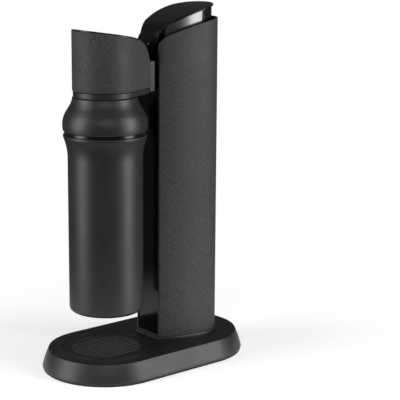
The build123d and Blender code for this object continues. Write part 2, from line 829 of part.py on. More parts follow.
# ---- write every piece ----
os.makedirs("parts", exist_ok=True)
pieces = {
    "base_shell": baseShell,
    "foot_ring": footRing,
    "base_plate": basePlate,
    "base_screws": baseScrews,
    "column_collar": columnCollar,
    "drip_tray": dripTray,
    "drip_grille": dripGrille,
    "hatch_cover": hatchCover,
    "cylinder_cushion": cylinderCushion,
    "column_shell": columnShell,
    "front_panel": frontPanel,
    "spine_frame": spineFrame,
    "spine_screws": spineScrews,
    "top_bezel": topBezel,
    "cylinder_guides": cylinderGuides,
    "gas_cylinder": gasCylinder,
    "cylinder_valve": cylinderValve,
    "valve_pin": valvePin,
    "cylinder_seal": cylinderSeal,
    "valve_block": valveBlock,
    "valve_screws": valveScrews,
    "plunger_guide": plungerGuide,
    "plunger": plunger,
    "plunger_spring": plungerSpring,
    "relief_valve": reliefValve,
    "outlet_fitting": outletFitting,
    "gas_hose_lower": gasHoseLower,
    "gas_hose_upper": gasHoseUpper,
    "swivel_elbow": swivelElbow,
    "lever_paddle": leverPaddle,
    "lever_core": leverCore,
    "lever_pad": leverPad,
    "lever_trims": leverTrims,
    "lever_bracket": leverBracket,
    "bracket_screws": bracketScrews,
    "lever_pin": leverPin,
    "head_shell": headShell,
    "head_top_cap": headTopCap,
    "head_body": headBody,
    "neck_sleeve": neckSleeve,
    "tilt_pin": tiltPin,
    "tilt_bushes": tiltBushes,
    "hose_swivel": hoseSwivel,
    "nozzle_body": nozzleBody,
    "carbonation_tube": carbonationTube,
    "bottle_gasket": bottleGasket,
    "dome": dome,
    "dome_screws": domeScrews,
    "lock_ring": lockRing,
    "canister": canister,
    "canister_insert": canisterInsert,
    "canister_pad": canisterPad,
}
for name, make in pieces.items():
    save(name, make())
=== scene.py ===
import bpy
import bmesh
import json
import math
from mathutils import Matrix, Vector


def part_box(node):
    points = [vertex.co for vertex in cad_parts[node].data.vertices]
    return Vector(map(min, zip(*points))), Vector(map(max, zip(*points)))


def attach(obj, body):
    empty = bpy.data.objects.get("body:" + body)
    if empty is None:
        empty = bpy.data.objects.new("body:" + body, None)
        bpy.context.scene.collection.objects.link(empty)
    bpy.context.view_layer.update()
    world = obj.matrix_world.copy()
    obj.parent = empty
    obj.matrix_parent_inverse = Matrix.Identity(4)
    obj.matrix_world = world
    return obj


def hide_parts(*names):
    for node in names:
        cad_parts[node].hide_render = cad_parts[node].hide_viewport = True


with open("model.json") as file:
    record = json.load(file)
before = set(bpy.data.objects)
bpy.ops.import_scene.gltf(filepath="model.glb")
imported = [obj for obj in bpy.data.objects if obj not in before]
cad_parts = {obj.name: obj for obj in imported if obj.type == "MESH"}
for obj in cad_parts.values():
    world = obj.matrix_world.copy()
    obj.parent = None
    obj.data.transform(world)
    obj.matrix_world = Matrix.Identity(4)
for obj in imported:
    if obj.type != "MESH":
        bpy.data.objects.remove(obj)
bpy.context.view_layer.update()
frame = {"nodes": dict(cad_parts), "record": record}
print("frame loaded:", len(frame["nodes"]), "nodes")

mm = 0.001  # every size below is in millimetres and made metres when a mesh is written


# outlines and curves
def lerp(a, b, t):
    return a + (b - a) * t


def circleHeight(first, middle, last):
    # height over depth of the circle through three (depth, height) points
    (ax, ay), (bx, by), (cx, cy) = first, middle, last
    d = 2 * (ax * (by - cy) + bx * (cy - ay) + cx * (ay - by))
    sa, sb, sc = ax * ax + ay * ay, bx * bx + by * by, cx * cx + cy * cy
    ox = (sa * (by - cy) + sb * (cy - ay) + sc * (ay - by)) / d
    oy = (sa * (cx - bx) + sb * (ax - cx) + sc * (bx - ax)) / d
    radius = math.hypot(ax - ox, ay - oy)
    side = 1 if by > oy else -1
    return lambda y: oy + side * math.sqrt(max(radius**2 - (y - ox) ** 2, 0.0))


def roundCorners(points, closed, steps=5):
    # each point is (x, y, radius); a radius makes that corner an arc
    out = []
    count = len(points)
    for i, (x, y, radius) in enumerate(points):
        if radius <= 0 or (not closed and i in (0, count - 1)):
            out.append((x, y))
            continue
        px, py, _ = points[i - 1]
        qx, qy, _ = points[(i + 1) % count]
        toP = Vector((px - x, py - y))
        toQ = Vector((qx - x, qy - y))
        half = toP.angle(toQ) / 2
        reach = min(radius / math.tan(half), toP.length * 0.49, toQ.length * 0.49)
        radius = reach * math.tan(half)
        toP.normalize()
        toQ.normalize()
        centre = Vector((x, y)) + (toP + toQ).normalized() * (radius / math.sin(half))
        start = Vector((x, y)) + toP * reach - centre
        sweep = start.angle_signed(Vector((x, y)) + toQ * reach - centre)
        for k in range(steps + 1):
            a = -sweep * k / steps
            c, s = math.cos(a), math.sin(a)
            out.append((centre.x + start.x * c - start.y * s, centre.y + start.x * s + start.y * c))
    return out


def smoothThrough(points, steps=8):
    # Catmull-Rom curve through the points
    out = []
    for i in range(len(points) - 1):
        a = points[max(i - 1, 0)]
        b, c = points[i], points[i + 1]
        d = points[min(i + 2, len(points) - 1)]
        for k in range(steps):
            t = k / steps
            out.append(tuple(
                0.5 * (2 * b[n] + (c[n] - a[n]) * t + (2 * a[n] - 5 * b[n] + 4 * c[n] - d[n]) * t * t
                       + (3 * b[n] - a[n] - 3 * c[n] + d[n]) * t**3)
                for n in (0, 1)))
    return out + [tuple(points[-1])]


def offsetNormals(outline, closed):
    # mitred outward normals of an outline that runs anticlockwise seen from above
    normals = []
    count = len(outline)
    for i, (x, y) in enumerate(outline):
        sides = []
        for j, k in ((i - 1, i), (i, i + 1)):
            if not closed and (j < 0 or k >= count):
                continue
            ax, ay = outline[j % count]
            bx, by = outline[k % count]
            length = math.hypot(bx - ax, by - ay)
            if length > 1e-9:
                sides.append(((by - ay) / length, -(bx - ax) / length))
        nx = sum(s[0] for s in sides)
        ny = sum(s[1] for s in sides)
        fit = nx * sides[0][0] + ny * sides[0][1]
        normals.append((nx / fit, ny / fit))
    return normals


def mirrored(rightHalf):
    # closes an outline whose right half runs from one point of x = 0 to another
    return rightHalf + [(-x, y) for x, y in reversed(rightHalf[1:-1])]


# meshes
def newPiece(name, bm, body, replaced, materialName, slotName, sharp=38.0):
    bmesh.ops.remove_doubles(bm, verts=bm.verts, dist=1e-6)
    bmesh.ops.recalc_face_normals(bm, faces=bm.faces)
    mesh = bpy.data.meshes.new(name)
    bm.to_mesh(mesh)
    bm.free()
    return placePiece(name, mesh, body, replaced, materialName, slotName, sharp)


def placePiece(name, mesh, body, replaced, materialName, slotName, sharp=38.0):
    mesh.shade_smooth()
    mesh.set_sharp_from_angle(angle=math.radians(sharp))
    mesh.materials.clear()
    mesh.materials.append(materials[materialName])
    piece = bpy.data.objects.new(name, mesh)
    bpy.context.scene.collection.objects.link(piece)
    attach(piece, body)
    if replaced:
        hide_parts(*replaced)
    return piece


def ribbon(bm, outline, section, closed=True):
    # sweeps a section round an outline; a section point is (inset, height or height(y), rise)
    normals = offsetNormals(outline, closed)
    rows = []
    for (x, y), (nx, ny) in zip(outline, normals):
        row = []
        for inset, height, rise in section:
            px, py = x - nx * inset, y - ny * inset
            z = (height(py) if callable(height) else height) + rise
            row.append(bm.verts.new((px * mm, py * mm, z * mm)))
        rows.append(row)
    count = len(rows)
    for i in range(count if closed else count - 1):
        a, b = rows[i], rows[(i + 1) % count]
        for k in range(len(section) - 1):
            bm.faces.new((a[k], b[k], b[k + 1], a[k + 1]))
    return rows


def closeRibbon(bm, rows, closed=True):
    # joins the section's last point to its first, and caps the ends of an open ribbon
    count = len(rows)
    for i in range(count if closed else count - 1):
        a, b = rows[i], rows[(i + 1) % count]
        bm.faces.new((a[-1], b[-1], b[0], a[0]))
    if not closed:
        bm.faces.new(rows[0])
        bm.faces.new(list(reversed(rows[-1])))


def lathe(bm, profile, centreY, segments=160, closedProfile=True):
    rings = []
    for r, z in profile:
        if abs(r) < 1e-6:
            rings.append([bm.verts.new((0, centreY * mm, z * mm))])
            continue
        ring = []
        for s in range(segments):
            a = 2 * math.pi * s / segments
            ring.append(bm.verts.new((r * math.cos(a) * mm, (centreY + r * math.sin(a)) * mm, z * mm)))
        rings.append(ring)
    pairs = list(zip(rings, rings[1:]))
    if closedProfile:
        pairs.append((rings[-1], rings[0]))
    for a, b in pairs:
        if len(a) == 1 and len(b) == 1:
            continue
        for s in range(segments):
            t = (s + 1) % segments
            if len(a) == 1:
                bm.faces.new((a[0], b[s], b[t]))
            elif len(b) == 1:
                bm.faces.new((a[s], a[t], b[0]))
            else:
                bm.faces.new((a[s], a[t], b[t], b[s]))


def plateOutline(halfWidth, rows, across):
    # outline with one straight edge, at the first row, and a tip at the last
    flat = [(halfWidth(rows[0]) * k / across, rows[0]) for k in range(across + 1)]
    side = [(halfWidth(y), y) for y in rows[1:-1]]
    tip = [(0.0, rows[-1])]
    right = flat + side + tip
    left = [(-x, y) for x, y in reversed(flat[1:] + side)]
    return right + left


def plateFill(bm, loop, across, rowCount, height, rise=0.0):
    # fills a plate outline with rows across it, each at the height of its depth
    total = len(loop)
    last = rowCount - 1
    previous = [loop[(k + total) % total] for k in range(-across, across + 1)]
    for j in range(1, last):
        right = loop[across + j]
        left = loop[across + 2 * last - j]
        row = [left]
        for k in range(1, 2 * across):
            p = left.co.lerp(right.co, k / (2 * across))
            p.z = (height(p.y / mm) + rise) * mm
            row.append(bm.verts.new(p))
        row.append(right)
        for k in range(2 * across):
            bm.faces.new((previous[k], previous[k + 1], row[k + 1], row[k]))
        previous = row
    tip = loop[across + last]
    for k in range(2 * across):
        bm.faces.new((previous[k], previous[k + 1], tip))


def bevelledCopy(node, name, width, materialName, slotName, segments=3, angle=35.0):
    # a CAD node with its doubles merged, its flat faces joined and its edges eased
    bm = bmesh.new()
    bm.from_mesh(frame["nodes"][node].data)
    bmesh.ops.remove_doubles(bm, verts=bm.verts, dist=2e-6)
    bmesh.ops.dissolve_limit(bm, angle_limit=math.radians(0.6), verts=bm.verts, edges=bm.edges)
    mesh = bpy.data.meshes.new(name)
    bm.to_mesh(mesh)
    bm.free()
    piece = placePiece(name, mesh, bodyOf[node], [node], materialName, slotName, angle)
    if width > 0:
        ease = piece.modifiers.new("eased edges", "BEVEL")
        ease.width = width * mm
        ease.segments = segments
        ease.limit_method = "ANGLE"
        ease.angle_limit = math.radians(angle)
        ease.harden_normals = True
        ease.use_clamp_overlap = True
    return piece


bodyOf = {node: body for body, group in frame["record"]["behaviour"]["bodies"].items() for node in group}
slotOf = {entry["node"]: entry["material_slot"] for entry in frame["record"]["subparts"]}


# materials
def linear(hexColour):
    value = hexColour.lstrip("#")
    out = []
    for k in (0, 2, 4):
        c = int(value[k:k + 2], 16) / 255
        out.append(c / 12.92 if c <= 0.04045 else ((c + 0.055) / 1.055) ** 2.4)
    return (*out, 1.0)


def addNode(tree, kind, settings=None, inputs=None):
    node = tree.nodes.new(kind)
    for key, value in (settings or {}).items():
        setattr(node, key, value)
    for key, value in (inputs or {}).items():
        if isinstance(value, bpy.types.NodeSocket):
            tree.links.new(value, node.inputs[key])
        else:
            node.inputs[key].default_value = value
    return node


def startMaterial(name, shader):
    material = bpy.data.materials.new(name)
    material.use_nodes = True
    tree = material.node_tree
    tree.nodes.clear()
    out = addNode(tree, "ShaderNodeOutputMaterial")
    bsdf = addNode(tree, "ShaderNodeBsdfPrincipled", inputs=shader)
    tree.links.new(bsdf.outputs[0], out.inputs[0])
    place = addNode(tree, "ShaderNodeTexCoord").outputs["Object"]
    return material, tree, bsdf, place


def ramp(tree, value, low, high, lowAt=0.3, highAt=0.7):
    node = addNode(tree, "ShaderNodeValToRGB", inputs={0: value})
    node.color_ramp.elements[0].position = lowAt
    node.color_ramp.elements[1].position = highAt
    node.color_ramp.elements[0].color = low if isinstance(low, tuple) else (low, low, low, 1)
    node.color_ramp.elements[1].color = high if isinstance(high, tuple) else (high, high, high, 1)
    return node.outputs[0]


def grainedMaterial(name, values, shader=None):
    # a coat or moulding: fine grain in bump and tone, and slow patches in its gloss
    base = {"Metallic": 0.0, "IOR": 1.5}
    base.update(shader or {})
    material, tree, bsdf, place = startMaterial(name, base)
    fine = addNode(tree, "ShaderNodeTexNoise", inputs={
        "Vector": place, "Scale": 1000 / values["grain"], "Detail": 3.0, "Roughness": 0.6})
    slow = addNode(tree, "ShaderNodeTexNoise", inputs={
        "Vector": place, "Scale": 1000 / values["patch"], "Detail": 2.0, "Roughness": 0.5})
    tone = ramp(tree, fine.outputs["Fac"], linear(values["dark"]), linear(values["light"]))
    tree.links.new(tone, bsdf.inputs["Base Color"])
    gloss = ramp(tree, slow.outputs["Fac"], values["smooth"], values["rough"])
    tree.links.new(gloss, bsdf.inputs["Roughness"])
    bump = addNode(tree, "ShaderNodeBump", inputs={
        "Height": fine.outputs["Fac"], "Strength": values["bump"], "Distance": values["depth"] * mm})
    tree.links.new(bump.outputs[0], bsdf.inputs["Normal"])
    return material


# steel sprayed with black powder and baked: a tight orange-peel grain that scatters light
powderCoat = {"grain": 1.5, "patch": 60, "dark": "#1b1b1b", "light": "#434343",
              "smooth": 0.60, "rough": 0.68, "bump": 0.8, "depth": 0.20}
# the canister and its bell: the same powder, but finer, so soft highlights run down it
satinCoat = {"grain": 1.0, "patch": 70, "dark": "#141414", "light": "#232323",
             "smooth": 0.40, "rough": 0.46, "bump": 0.4, "depth": 0.09}
# moulded ABS with an eroded texture: even, quiet grey-black
mouldedAbs = {"grain": 0.8, "patch": 45, "dark": "#151515", "light": "#202020",
              "smooth": 0.40, "rough": 0.47, "bump": 0.25, "depth": 0.06}
# polished black polycarbonate: near-black with clean reflections
polishedBlack = {"grain": 0.5, "patch": 30, "dark": "#040404", "light": "#060606",
                 "smooth": 0.10, "rough": 0.15, "bump": 0.03, "depth": 0.02}
# lever: black ABS with a satin polish that picks up a soft sheen towards the light
satinBlack = {"grain": 0.6, "patch": 40, "dark": "#080808", "light": "#0b0b0b",
              "smooth": 0.22, "rough": 0.28, "bump": 0.06, "depth": 0.03}
# thin black coat on pressed steel
coatedGrille = {"grain": 0.7, "patch": 30, "dark": "#151515", "light": "#1d1d1d",
                "smooth": 0.48, "rough": 0.55, "bump": 0.1, "depth": 0.03}
# natural rubber, moulded: matt and slightly dusty
mattRubber = {"grain": 1.0, "patch": 20, "dark": "#121212", "light": "#1b1b1b",
              "smooth": 0.70, "rough": 0.85, "bump": 0.3, "depth": 0.08}
# glass-filled nylon: mottled dark grey
filledNylon = {"grain": 1.2, "patch": 15, "dark": "#29292b", "light": "#37373a",
               "smooth": 0.5, "rough": 0.62, "bump": 0.3, "depth": 0.06}
# translucent polyurethane hose over a braid
clearHose = {"grain": 0.8, "patch": 12, "dark": "#b9bfc2", "light": "#d3d8da",
             "smooth": 0.25, "rough": 0.35, "bump": 0.3, "depth": 0.08}


def brushedMaterial(name, values):
    # a metal drawn along one axis: long fine scratches across the others
    material, tree, bsdf, place = startMaterial(name, {"Metallic": 1.0})
    stretch = addNode(tree, "ShaderNodeMapping", inputs={"Vector": place, "Scale": values["stretch"]})
    lines = addNode(tree, "ShaderNodeTexNoise", inputs={
        "Vector": stretch.outputs[0], "Scale": 1000 / values["grain"], "Detail": 4.0, "Roughness": 0.65})
    tone = ramp(tree, lines.outputs["Fac"], linear(values["dark"]), linear(values["light"]))
    tree.links.new(tone, bsdf.inputs["Base Color"])
    gloss = ramp(tree, lines.outputs["Fac"], values["smooth"], values["rough"])
    tree.links.new(gloss, bsdf.inputs["Roughness"])
    bump = addNode(tree, "ShaderNodeBump", inputs={
        "Height": lines.outputs["Fac"], "Strength": values["bump"], "Distance": values["depth"] * mm})
    tree.links.new(bump.outputs[0], bsdf.inputs["Normal"])
    return material


# stainless strip, belt-brushed along its length
brushedSteel = {"stretch": (1.0, 0.04, 1.0), "grain": 0.5, "dark": "#5d5d5e", "light": "#6f6f70",
                "smooth": 0.24, "rough": 0.32, "bump": 0.12, "depth": 0.02}
# zinc-plated steel: pale, slightly cloudy
zincPlate = {"stretch": (1.0, 1.0, 1.0), "grain": 1.6, "dark": "#9c9fa2", "light": "#bdbfc1",
             "smooth": 0.28, "rough": 0.42, "bump": 0.1, "depth": 0.02}
# drawn stainless tube
drawnSteel = {"stretch": (1.0, 1.0, 0.05), "grain": 0.4, "dark": "#b4b5b7", "light": "#cfd0d1",
              "smooth": 0.14, "rough": 0.22, "bump": 0.08, "depth": 0.01}
# turned brass: fine rings left by the tool
turnedBrass = {"stretch": (0.2, 0.2, 1.0), "grain": 0.5, "dark": "#a8853f", "light": "#c9a45a",
               "smooth": 0.20, "rough": 0.32, "bump": 0.12, "depth": 0.02}
# die-cast aluminium: grey and grainy
castAluminium = {"stretch": (1.0, 1.0, 1.0), "grain": 0.9, "dark": "#8b8d90", "light": "#a9abad",
                 "smooth": 0.42, "rough": 0.58, "bump": 0.3, "depth": 0.06}
# lacquered aluminium cylinder, spun so its marks run round it
spunAluminium = {"stretch": (0.03, 0.03, 1.0), "grain": 0.6, "dark": "#a9abae", "light": "#c2c4c6",
                 "smooth": 0.24, "rough": 0.34, "bump": 0.1, "depth": 0.02}

materials = {
    "powderCoat": grainedMaterial("powderCoatedSteel", powderCoat, {"Specular IOR Level": 0.4}),
    "satinCoat": grainedMaterial("satinPowderCoat", satinCoat, {"Specular IOR Level": 0.5}),
    "mouldedAbs": grainedMaterial("mouldedBlackAbs", mouldedAbs),
    "polishedBlack": grainedMaterial("polishedBlackPlastic", polishedBlack, {"Specular IOR Level": 0.3}),
    "satinBlack": grainedMaterial("satinBlackAbs", satinBlack, {"Specular IOR Level": 0.35}),
    "coatedGrille": grainedMaterial("coatedGrilleSteel", coatedGrille),
    "mattRubber": grainedMaterial("mattRubber", mattRubber),
    "filledNylon": grainedMaterial("glassFilledNylon", filledNylon),
    "clearHose": grainedMaterial("polyurethaneHose", clearHose, {"Transmission Weight": 0.2}),
    "brushedSteel": brushedMaterial("brushedStainless", brushedSteel),
    "zincPlate": brushedMaterial("zincPlatedSteel", zincPlate),
    "drawnSteel": brushedMaterial("drawnStainless", drawnSteel),
    "turnedBrass": brushedMaterial("turnedBrass", turnedBrass),
    "castAluminium": brushedMaterial("castAluminium", castAluminium),
    "spunAluminium": brushedMaterial("spunAluminium", spunAluminium),
}
materialOfSlot = {
    "black_powder_coat": "powderCoat", "black_matte_plastic": "mouldedAbs",
    "black_gloss_plastic": "polishedBlack", "grille_black": "coatedGrille",
    "satin_steel": "brushedSteel", "zinc_steel": "zincPlate", "stainless_tube": "drawnSteel",
    "brass": "turnedBrass", "cast_aluminium": "castAluminium",
    "cylinder_aluminium": "spunAluminium", "frame_plastic": "filledNylon",
    "black_rubber": "mattRubber", "clear_hose": "clearHose",
}
for node, piece in frame["nodes"].items():
    piece.data.materials.clear()
    piece.data.materials.append(materials[materialOfSlot[slotOf[node]]])
print("materials:", len(materials))


# sizes shared by the pieces, from the frame
def boxOf(node):
    low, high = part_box(node)
    return [v / mm for v in low], [v / mm for v in high]


canLow, canHigh = boxOf("canister")
vesselY = (canLow[1] + canHigh[1]) / 2
columnLow, columnHigh = boxOf("column_shell")
rearR = (columnHigh[0] - columnLow[0]) / 2
backY = columnHigh[1] - rearR
columnFront = columnLow[1]
columnFrontHalf = 21.8
baseLow, baseHigh = boxOf("base_shell")
baseHalf = (baseHigh[0] - baseLow[0]) / 2
baseEnd = baseHigh[1] - baseHalf
baseTop = baseHigh[2]


def columnHalf(inset):
    # half width of the column's outline at a depth, inset from its outside
    bulge = rearR - columnFrontHalf
    reach = backY - columnFront
    radius = (bulge**2 + reach**2) / (2 * bulge)
    centreX = rearR - radius

    def half(y):
        if y <= backY:
            return centreX + math.sqrt((radius - inset) ** 2 - (backY - y) ** 2)
        return math.sqrt(max((rearR - inset) ** 2 - (y - backY) ** 2, 0.0))
    return half


def columnRows(frontY, inset, near=26, rear=26):
    # depths of the rows, closer together at the round front and at the tip
    rows = [frontY + (backY - frontY) * (k / near) ** 1.35 for k in range(near + 1)]
    tip = rearR - inset
    rows += [backY + tip * math.sin(math.pi / 2 * k / rear) for k in range(1, rear + 1)]
    return rows


# base
baseShape = {"topHalf": 70.8, "cylinderHole": 32.0, "cylinderY": 66.0, "belly": 0.9,
             "edge": 0.9, "lowEdge": 1.4, "ends": 64, "sides": 24}


def stadiumOutline(half, endY, ends, sides):
    right = [(half * math.sin(math.pi / 2 * k / ends), -endY - half * math.cos(math.pi / 2 * k / ends))
             for k in range(ends + 1)]
    right += [(half, lerp(-endY, endY, k / sides)) for k in range(1, sides)]
    right += [(half * math.cos(math.pi / 2 * k / ends), endY + half * math.sin(math.pi / 2 * k / ends))
              for k in range(ends + 1)]
    return mirrored(right)


def makeBase(v):
    bm = bmesh.new()
    outline = stadiumOutline(baseHalf, baseEnd, v["ends"], v["sides"])
    lowZ = baseLow[2]
    run = baseHalf - v["topHalf"]
    steps = 10
    section = [(4.0, lowZ, 1.4), (4.0, lowZ, 0.0), (v["lowEdge"], lowZ, 0.0)]
    for k in range(1, 5):  # rolled lower edge
        a = math.pi / 2 * k / 5
        section.append((v["lowEdge"] * (1 - math.sin(a)), lowZ, v["lowEdge"] * 0.8 * (1 - math.cos(a))))
    for k in range(steps + 1):  # slightly bellied side
        t = k / steps
        rise = lerp(v["lowEdge"] * 0.8, baseTop - lowZ - v["edge"] * 0.8, t)
        section.append((run * t - v["belly"] * math.sin(math.pi * t) * 0.6, lowZ, rise))
    section.append((run + v["edge"] * 0.35, baseTop, -v["edge"] * 0.22))
    section.append((run + v["edge"], baseTop, 0.0))
    section.append((run + 5.0, baseTop, 0.0))
    rows = ribbon(bm, outline, section)
    topLoop = [row[-1] for row in rows]
    edges = [bm.edges.get((topLoop[i], topLoop[(i + 1) % len(topLoop)])) for i in range(len(topLoop))]
    trayLow, trayHigh = boxOf("drip_tray")
    wellR = (trayHigh[0] - trayLow[0]) / 2 + 0.45
    holes = []
    for radius, y in ((wellR + 0.4, vesselY), (v["cylinderHole"], v["cylinderY"])):
        ring = []
        for s in range(128):
            a = 2 * math.pi * s / 128
            px, py = radius * math.cos(a), y + radius * math.sin(a)
            ring.append(bm.verts.new((px * mm, py * mm, baseTop * mm)))
        for s in range(128):
            edges.append(bm.edges.new((ring[s], ring[(s + 1) % 128])))
        holes.append((ring, radius, y))
    bmesh.ops.triangle_fill(bm, use_beauty=True, edges=edges)
    drops = {0: [(-0.25, -0.1), (-0.4, -0.4), (-0.4, -3.0), (-2.7, -3.0), (-2.7, -14.0), (1.6, -14.0)],
             1: [(0.0, -3.0)]}
    for index, (ring, radius, y) in enumerate(holes):
        above = ring
        for inset, fall in drops[index]:
            below = []
            for s in range(128):
                a = 2 * math.pi * s / 128
                r = radius + inset
                px, py = r * math.cos(a), y + r * math.sin(a)
                below.append(bm.verts.new((px * mm, py * mm, (baseTop + fall) * mm)))
            for s in range(128):
                t = (s + 1) % 128
                bm.faces.new((above[s], above[t], below[t], below[s]))
            above = below
    return newPiece("baseMoulding", bm, "stand", ["base_shell"], "mouldedAbs", "black_matte_plastic", 30)


makeBase(baseShape)

bandShape = {"half": 77.3, "width": 8.0, "ease": 0.5}


def makeFootBand(v):
    bm = bmesh.new()
    outline = stadiumOutline(v["half"], baseEnd, 48, 16)
    section = [(x, z, 0.0) for x, z in roundCorners(
        [(0, 0, v["ease"]), (0, 2.4, 0), (v["width"], 2.4, 0), (v["width"], 0, v["ease"])], True, 3)]
    closeRibbon(bm, ribbon(bm, outline, section))
    return newPiece("footBand", bm, "stand", ["foot_ring"], "mattRubber", "black_rubber")


makeFootBand(bandShape)

trayShape = {"rim": 52.9, "wall": 50.2, "floor": 9.5, "ledge": 22.55, "top": 24.0, "thick": 2.0}


def makeTray(v):
    inner = v["wall"] - v["thick"]
    profile = roundCorners([
        (0, v["floor"], 0), (v["wall"] - 3, v["floor"], 2.5), (v["wall"], v["floor"] + 4, 2.0),
        (v["wall"], v["ledge"], 0.3), (v["rim"], v["ledge"], 0.3), (v["rim"], v["top"], 0.4),
        (inner, v["top"], 0.4), (inner, v["floor"] + v["thick"] + 2, 2.0),
        (inner - 3, v["floor"] + v["thick"], 2.0), (0, v["floor"] + v["thick"], 0)], False, 4)
    bm = bmesh.new()
    lathe(bm, profile, vesselY, closedProfile=False)
    return newPiece("dripTrayMoulding", bm, "tray", ["drip_tray"], "mouldedAbs", "black_matte_plastic", 50)


makeTray(trayShape)

grilleShape = {"radius": 52.8, "field": 43.0, "low": 24.1, "high": 25.6, "dish": 0.45, "pitch": 6.9,
               "count": 10, "rib": 3.2, "ribLow": 18.0}


def ribTree():
    # bars side by side, each as long as the round field is at its place
    tree = bpy.data.node_groups.new("grilleBars", "GeometryNodeTree")
    face = tree.interface
    for name, kind in (("Count", "NodeSocketInt"), ("Pitch", "NodeSocketFloat"),
                       ("Bar Width", "NodeSocketFloat"), ("Field Radius", "NodeSocketFloat"),
                       ("Thickness", "NodeSocketFloat"),
                       ("Centre", "NodeSocketVector"), ("Finish", "NodeSocketMaterial")):
        face.new_socket(name, in_out="INPUT", socket_type=kind)
    face.new_socket("Geometry", in_out="OUTPUT", socket_type="NodeSocketGeometry")
    given = addNode(tree, "NodeGroupInput").outputs
    gaps = addNode(tree, "ShaderNodeMath", {"operation": "SUBTRACT"}, {0: given["Count"], 1: 1.0})
    span = addNode(tree, "ShaderNodeMath", {"operation": "MULTIPLY"},
                   {0: gaps.outputs[0], 1: given["Pitch"]})
    halfSpan = addNode(tree, "ShaderNodeMath", {"operation": "MULTIPLY"}, {0: span.outputs[0], 1: -0.5})
    first = addNode(tree, "ShaderNodeCombineXYZ", inputs={"X": halfSpan.outputs[0]})
    start = addNode(tree, "ShaderNodeVectorMath", {"operation": "ADD"}, {
        0: first.outputs[0], 1: given["Centre"]})
    step = addNode(tree, "ShaderNodeCombineXYZ", inputs={"X": given["Pitch"]})
    line = addNode(tree, "GeometryNodeMeshLine", inputs={
        "Count": given["Count"], "Start Location": start.outputs[0], "Offset": step.outputs[0]})
    where = addNode(tree, "GeometryNodeInputPosition")
    offset = addNode(tree, "ShaderNodeVectorMath", {"operation": "SUBTRACT"}, {
        0: where.outputs[0], 1: given["Centre"]})
    x = addNode(tree, "ShaderNodeSeparateXYZ", inputs={0: offset.outputs[0]})
    squareX = addNode(tree, "ShaderNodeMath", {"operation": "MULTIPLY"}, {0: x.outputs[0], 1: x.outputs[0]})
    squareR = addNode(tree, "ShaderNodeMath", {"operation": "MULTIPLY"}, {
        0: given["Field Radius"], 1: given["Field Radius"]})
    left = addNode(tree, "ShaderNodeMath", {"operation": "SUBTRACT"}, {
        0: squareR.outputs[0], 1: squareX.outputs[0]})
    half = addNode(tree, "ShaderNodeMath", {"operation": "SQRT"}, {0: left.outputs[0]})
    length = addNode(tree, "ShaderNodeMath", {"operation": "MULTIPLY"}, {0: half.outputs[0], 1: 2.0})
    across = addNode(tree, "ShaderNodeCombineXYZ", inputs={
        "X": given["Bar Width"], "Y": 1.0, "Z": given["Thickness"]})
    bar = addNode(tree, "GeometryNodeMeshCube", inputs={
        "Size": across.outputs[0], "Vertices X": 2, "Vertices Y": 2, "Vertices Z": 2})
    size = addNode(tree, "ShaderNodeCombineXYZ", inputs={"X": 1.0, "Y": length.outputs[0], "Z": 1.0})
    placed = addNode(tree, "GeometryNodeInstanceOnPoints", inputs={
        "Points": line.outputs[0], "Instance": bar.outputs[0], "Scale": size.outputs[0]})
    real = addNode(tree, "GeometryNodeRealizeInstances", inputs={0: placed.outputs[0]})
    finish = addNode(tree, "GeometryNodeSetMaterial", inputs={
        "Geometry": real.outputs[0], "Material": given["Finish"]})
    addNode(tree, "NodeGroupOutput", inputs={0: finish.outputs[0]})
    return tree


def grown(tree, inputs):
    # runs a node tree once on an empty mesh and returns its result as a plain mesh
    holder = bpy.data.objects.new("grower", bpy.data.meshes.new("grower"))
    bpy.context.scene.collection.objects.link(holder)
    modifier = holder.modifiers.new("grow", "NODES")
    modifier.node_group = tree
    keys = {item.name: item.identifier for item in tree.interface.items_tree if item.in_out == "INPUT"}
    for name, value in inputs.items():
        modifier[keys[name]] = value
    graph = bpy.context.evaluated_depsgraph_get()
    mesh = bpy.data.meshes.new_from_object(holder.evaluated_get(graph), depsgraph=graph)
    holder.modifiers.remove(modifier)
    bpy.data.objects.remove(holder)
    return mesh


def makeGrille(v):
    flat = v["high"] - v["dish"]
    thick = flat - 0.08 - v["ribLow"]
    bars = grown(ribTree(), {
        "Count": v["count"], "Pitch": v["pitch"] * mm, "Bar Width": v["rib"] * mm,
        "Field Radius": (v["field"] + 1.2) * mm, "Thickness": thick * mm,
        "Centre": (0.0, vesselY * mm, (v["ribLow"] + thick / 2) * mm), "Finish": materials["coatedGrille"]})
    bm = bmesh.new()
    bm.from_mesh(bars)
    topEdges = [e for e in bm.edges
                if all(p.co.z > (flat - 0.1) * mm for p in e.verts) and e.calc_length() > 0.02]
    bmesh.ops.bevel(bm, geom=topEdges, offset=0.2 * mm, segments=2, affect="EDGES", profile=0.5)
    # the plain parts beyond the first and last slot
    edgeX = v["pitch"] * v["count"] / 2 + (v["pitch"] - v["rib"]) / 2
    reach = v["field"] + 1.2
    sweep = math.acos(edgeX / reach)
    arc = [(reach * math.cos(lerp(-sweep, sweep, k / 16)), reach * math.sin(lerp(-sweep, sweep, k / 16)))
           for k in range(17)]
    for side in (1, -1):
        rim = [(x * side, vesselY + y * side) for x, y in arc]
        rows = ribbon(bm, rim, [(0, v["low"], 0), (0, flat, -0.45), (0.12, flat, -0.2), (0.4, flat, -0.08)])
        bm.faces.new([row[-1] for row in rows])
        bm.faces.new([row[0] for row in reversed(rows)])
    profile = roundCorners([
        (v["field"], v["low"], 0), (v["radius"], v["low"], 0.2), (v["radius"], v["high"], 0.5),
        (v["radius"] - 1.3, v["high"], 0.6), (v["field"] + 1.6, flat, 1.0),
        (v["field"], flat, 0.25)], True, 4)
    lathe(bm, profile, vesselY)
    return newPiece("grillePlate", bm, "grille", ["drip_grille"], "coatedGrille", "grille_black")


